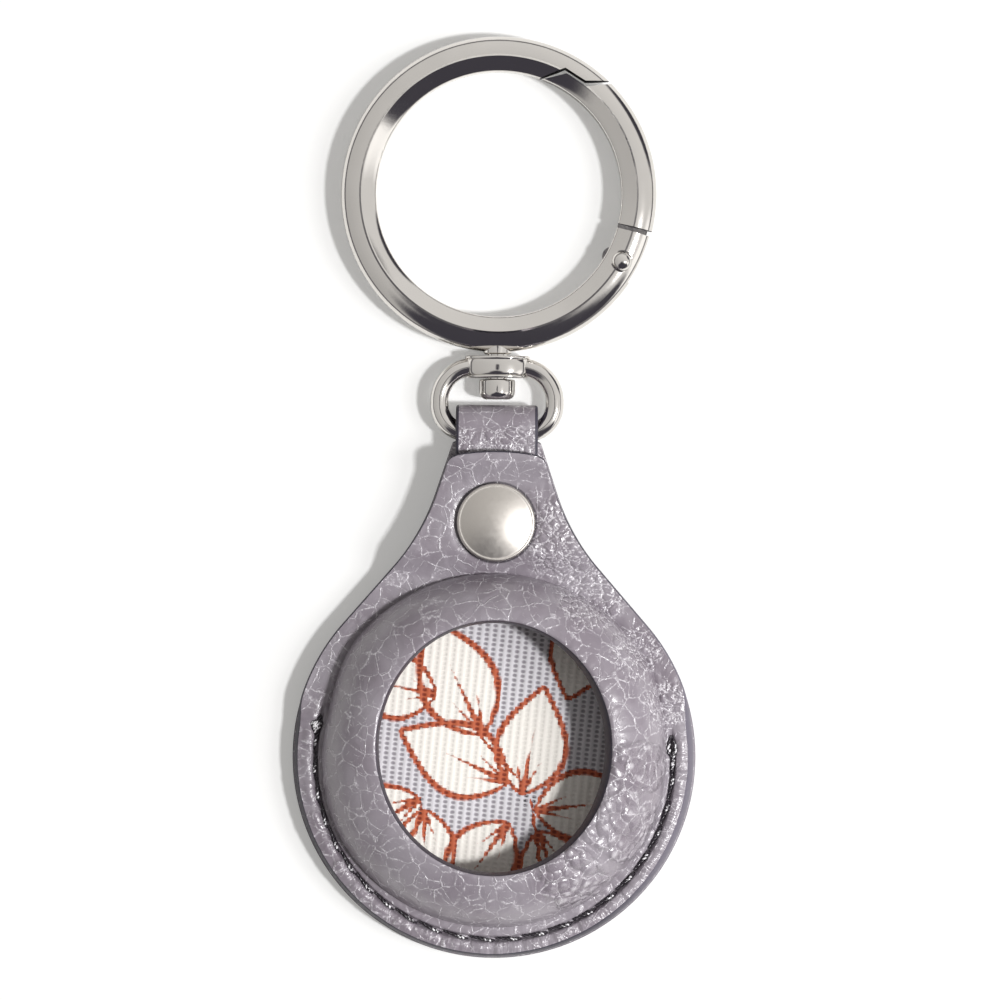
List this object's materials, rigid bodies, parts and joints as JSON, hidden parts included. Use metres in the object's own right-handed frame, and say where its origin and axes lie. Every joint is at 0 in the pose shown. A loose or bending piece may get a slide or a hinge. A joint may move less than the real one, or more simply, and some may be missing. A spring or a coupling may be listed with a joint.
{
  "type": "tracker keychain",
  "caption": "Teardrop leather pocket for a coin-shaped tracker, with an oval window, a snap flap, a swivel loop and a spring-gate key ring.",
  "frame": {"origin": "on the flat back face, at the centre of the round pocket", "axes": "+Y along the keychain from the pocket to the key ring, +X to the right seen from the front, +Z out of the front face"},
  "size_m": [0.0404, 0.0922, 0.0084],
  "materials": {
    "leather": "pebbled, semi-matt",
    "lining": "ribbed weave",
    "thread": "twisted, waxed",
    "nickel": "polished nickel plate",
    "satin_nickel": "satin polished nickel plate",
    "spring_steel": "bright drawn wire"
  },
  "bodies": {
    "case": {"back_panel": "leather", "back_lining": "lining", "front_panel": "leather", "needle_thread": "thread", "bobbin_thread": "thread", "snap_stud": "nickel", "snap_post": "nickel"},
    "flap": {"front_flap": "leather", "snap_cap": "satin_nickel", "snap_socket": "nickel"},
    "loop": {"swivel_loop": "nickel"},
    "ring": {"ring_body": "nickel", "swivel_post": "nickel", "hinge_pin": "nickel", "gate_plunger": "spring_steel", "gate_spring": "spring_steel"},
    "gate": {"gate": "nickel"}
  },
  "joints": [
    {"name": "flap_fold", "type": "hinge", "parent": "case", "child": "flap", "pos_m": [0, 0.005, 0.0084], "axis": [1, 0, 0], "range_deg": [0, 75], "stiffness_Nm_per_rad": 0.003},
    {"name": "loop_tilt", "type": "hinge", "parent": "case", "child": "loop", "pos_m": [0, 0.03243, 0.002], "axis": [1, 0, 0], "range_deg": [-90, 90]},
    {"name": "ring_swivel", "type": "hinge", "parent": "loop", "child": "ring", "pos_m": [0, 0.0379, 0.002], "axis": [0, 1, 0], "continuous": true},
    {"name": "gate_hinge", "type": "hinge", "parent": "ring", "child": "gate", "pos_m": [0.01233, 0.04961, 0.002], "axis": [0, 0, 1], "range_deg": [0, 24], "stiffness_Nm_per_rad": 0.04, "springref_deg": -34.38}
  ]
}
